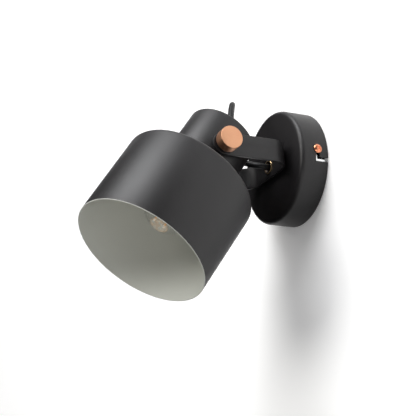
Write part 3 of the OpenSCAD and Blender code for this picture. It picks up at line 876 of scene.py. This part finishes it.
def makeBracket():
    outer = bracket["bend"] + bracket["thickness"]
    base = bracket["halfWidth"] - outer
    arc = outer * pi / 2
    reach = -tiltAxis.y / mm - bracket["backFace"] - outer
    pivot = base + arc + reach
    half = bracket["strip"] / 2
    bm = bmesh.new()
    outline = []
    for side in (1, -1):
        for step in range(bracket["endSteps"] + 1):
            angle = (step / bracket["endSteps"] - 0.5) * pi
            along, across = pivot + half * cos(angle), half * sin(angle)
            outline.append(bm.verts.new((side * along, side * across, 0)))
    for first, second in zip(outline, outline[1:] + outline[:1]):
        bm.edges.new((first, second))
    for centre, radius in ((0, "bushHole"), (pivot, "studHole"), (-pivot, "studHole")):
        bmesh.ops.create_circle(bm, segments=bracket["holeSegments"], radius=bracket[radius],
                                matrix=Matrix.Translation((centre, 0, 0)))
    bmesh.ops.triangle_fill(bm, use_beauty=True, edges=bm.edges)
    for side in (-1, 1):
        for step in range(bracket["bendSteps"] + 1):
            cut = side * (base + arc * step / bracket["bendSteps"])
            bmesh.ops.bisect_plane(bm, geom=[*bm.verts, *bm.edges, *bm.faces], dist=1e-5,
                                   plane_co=(cut, 0, 0), plane_no=(1, 0, 0))
    raisedBy(bm, bracket["thickness"])
    bmesh.ops.recalc_face_normals(bm, faces=bm.faces)
    turn = radians(bracket["edgeTurn"])
    rims = [e for e in bm.edges if len(e.link_faces) == 2 and e.calc_face_angle() > turn]
    bmesh.ops.bevel(bm, geom=rims, offset=bracket["edge"], segments=bracket["edgeSteps"],
                    profile=0.5, affect="EDGES", clamp_overlap=True, material=-1)
    for vert in bm.verts:
        vert.co = fold(vert.co)
    bmesh.ops.recalc_face_normals(bm, faces=bm.faces)
    finishPiece(newObject("bracketStrip", bm, Matrix.Identity(4)), ["powder"], "bracket",
                ["u_bracket"], 35)


makeBracket()
print("base and bracket")


# Thumb knobs

knob = {
    "radius": 10,
    "start": 39.9,  # from the middle of the head along the tilt axis
    "length": 9.5,
    "collar": 6.5,
    "collarStart": 37.3,
    "collarEdge": 0.2,
    "collarFoot": 0.15,
    "edge": 0.4,
    "segments": 96,
}


def makeKnob(name, side, body, node):
    end = knob["start"] + knob["length"]
    profile = [
        (0, knob["collarStart"], 0),
        (knob["collar"], knob["collarStart"], knob["collarEdge"]),
        (knob["collar"], knob["start"], knob["collarFoot"]),
        (knob["radius"], knob["start"], knob["edge"]),
        (knob["radius"], end, knob["edge"]),
        (0, end, 0),
    ]
    bm = spun(profile, knob["segments"], False)
    finishPiece(newObject(name, bm, alongTilt(side)), ["knobCopper"], body, [node])


makeKnob("thumbKnobRight", 1, "right_knob", "knob_right")
makeKnob("thumbKnobLeft", -1, "left_knob", "knob_left")
print("thumb knobs")


# Bulb

bulb = {
    "ball": 22.5,
    "middle": 60,
    "neck": 8.4,
    "start": 36.2,
    "neckRise": 2.45,
    "neckFillet": 1.2,
    "waist": 12.2,
    "wall": 0.7,
    "ballSteps": 40,
    "segments": 96,
}


def bulbLine(inset):
    # from the cap up the neck and over the ball to its tip
    ball = bulb["ball"] - inset
    neckRadius = bulb["neck"] - inset
    lowest = -pi / 2 + asin((bulb["waist"] - inset) / ball)
    points = [(neckRadius, bulb["start"], 0),
              (neckRadius, bulb["start"] + bulb["neckRise"], bulb["neckFillet"])]
    for step in range(bulb["ballSteps"]):
        angle = lowest + (pi / 2 - lowest) * step / bulb["ballSteps"]
        points.append((ball * cos(angle), bulb["middle"] + ball * sin(angle), 0))
    return points + [(0, bulb["middle"] + ball, 0)]


def makeBulb():
    outside = bulbLine(0)
    inside = bulbLine(bulb["wall"])
    bm = spun(outside[::-1] + inside, bulb["segments"], False)
    finishPiece(newObject("bulbGlass", bm, alongBeam), ["glass"], "head",
                ["bulb_glass"], 60)


makeBulb()


# Pieces that keep their own solid

kept = {
    "barZinc": ["mounting_bar"],
    "bushBrassPaintedShade": ["swivel_bush"],
    "zinc": ["terminal_screws", "block_screws", "lock_washer", "stud_right",
             "stud_left", "friction_washers", "pivot_nuts"],
    "screwCopper": ["canopy_screws"],
    "brass": ["terminal_inserts", "earth_screw", "bush_nut", "entry_nipple",
              "nipple_nut", "screw_shell", "centre_contact", "bulb_contact"],
    "whitePlastic": ["terminal_block", "cord_stop", "holder_insert", "shade_ring"],
    "blackPlastic": ["spacer_washer", "knob_washers", "saddle_washers", "cable_gland", "holder_cap",
                     "holder_body", "bulb_insulator"],
    "cores": ["core_wires"],
    "nickel": ["bulb_cap"],
    "glass": ["bulb_stem"],
    "filament": ["bulb_filaments"],
}
for finishName, nodeNames in kept.items():
    for nodeName in nodeNames:
        for materialSlot in frame["nodes"][nodeName].material_slots:
            materialSlot.material = finishes[finishName]
print("kept solids:", sum(len(nodeNames) for nodeNames in kept.values()))


# Wall and light

wallLook = {
    "size": 8,  # this and the next one in metres
    "behind": 0.0004,  # the wall's distance behind the light's back
    "lit": 0.62,  # what the wall gives back to the light
    "seen": 0.97,  # what the camera sees of it
    "lift": 0.26,  # and on top of that, so that the shadow stays soft
    "reach": 30,  # within this of what stands on the wall the lift is held back, as painted shade
}
lamps = {  # degrees to the right of straight off the wall, and above level
    "overhead": {"aside": 8, "above": 62, "power": 22, "tint": (0.975, 0.985, 1.0)},
    "right": {"aside": 34, "above": 50, "power": 20, "tint": (0.98, 0.985, 1.0)},
    "front": {"aside": 0, "above": 20, "power": 23.5, "tint": (1.0, 0.99, 0.96)},
    "low": {"aside": 60, "above": -35, "power": 8.5, "tint": (1.0, 0.98, 0.97)},
}
lampAim = (0, -90, -30)
lampAway = 2  # this and the next one in metres
lampSize = 1.2
ambient = 0.012  # what the room gives where no lamp stands


def seenRays(finish, kinds):
    # 1 for the rays that come from the camera, by mirrors or through glass too
    rays = finish.node("ShaderNodeLightPath").socket.node.outputs
    seen = Wire(finish, rays["Is Camera Ray"])
    for kind in kinds:
        seen = seen.maths("MAXIMUM", seen, Wire(finish, rays[kind]))
    return seen


def makeWall():
    bm = bmesh.new()
    bmesh.ops.create_grid(bm, x_segments=1, y_segments=1, size=wallLook["size"] / 2)
    wall = newObject("wall", bm, Matrix.Translation((0, wallLook["behind"], 0)) @ offWall)
    finish = newFinish("wallPaint")
    seen = seenRays(finish, ("Is Glossy Ray", "Is Transmission Ray"))
    grain = finish.noise(240, 3.0, 0.5)
    lit = (wallLook["lit"],) * 3 + (1,)
    plain = (wallLook["seen"],) * 3 + (1,)
    finish.surface({
        "Base Color": finish.blend(seen, lit, plain),
        "Roughness": 0.9,
        "Specular IOR Level": 0.0,
        "Normal": finish.bump(grain, 0.00005, 0.2),
    })
    paint = Wire(finish, finish.shader.outputs[0])
    # painted shade: ambient occlusion dims the lift near what stands on the wall
    paintedShadeAO = finish.node("ShaderNodeAmbientOcclusion", {"samples": 8},
                          {"Distance": wallLook["reach"] * mm})
    glow = finish.node("ShaderNodeEmission", {}, {"Color": paintedShadeAO, "Strength": wallLook["lift"]})
    lifted = finish.node("ShaderNodeAddShader", {}, {0: paint, 1: glow})
    front = finish.node("ShaderNodeMixShader", {}, {0: seen, 1: paint, 2: lifted})
    # the wall has no back, so that the light can be looked at from behind
    behind = finish.node("ShaderNodeNewGeometry", output="Backfacing")
    clear = finish.node("ShaderNodeBsdfTransparent")
    finish.feed(finish.tree.nodes["Material Output"].inputs["Surface"],
                finish.node("ShaderNodeMixShader", {}, {0: behind, 1: front, 2: clear}))
    wall.data.materials.append(finish.owner)


def makeLamps():
    aim = millimetres(*lampAim)
    for name, lamp in lamps.items():
        data = bpy.data.lights.new(name, "AREA")
        data.shape = "DISK"
        data.size = lampSize
        data.energy = lamp["power"]
        data.color = lamp["tint"]
        light = bpy.data.objects.new(name, data)
        scene.collection.objects.link(light)
        aside = radians(lamp["aside"])
        above = radians(lamp["above"])
        towards = Vector((sin(aside) * cos(above), -cos(aside) * cos(above), sin(above)))
        facing = towards.to_track_quat("Z", "Y").to_matrix().to_4x4()
        light.matrix_world = Matrix.Translation(aim + towards * lampAway) @ facing


def makeWorld():
    world = bpy.data.worlds.new("studio")
    scene.world = world
    finish = Finish(world, "Background")
    seen = seenRays(finish, ("Is Transmission Ray",))
    finish.surface({"Color": finish.blend(seen, (ambient, ambient, ambient, 1), (1, 1, 1, 1))})


makeWall()
makeLamps()
makeWorld()
print("wall and lamps")
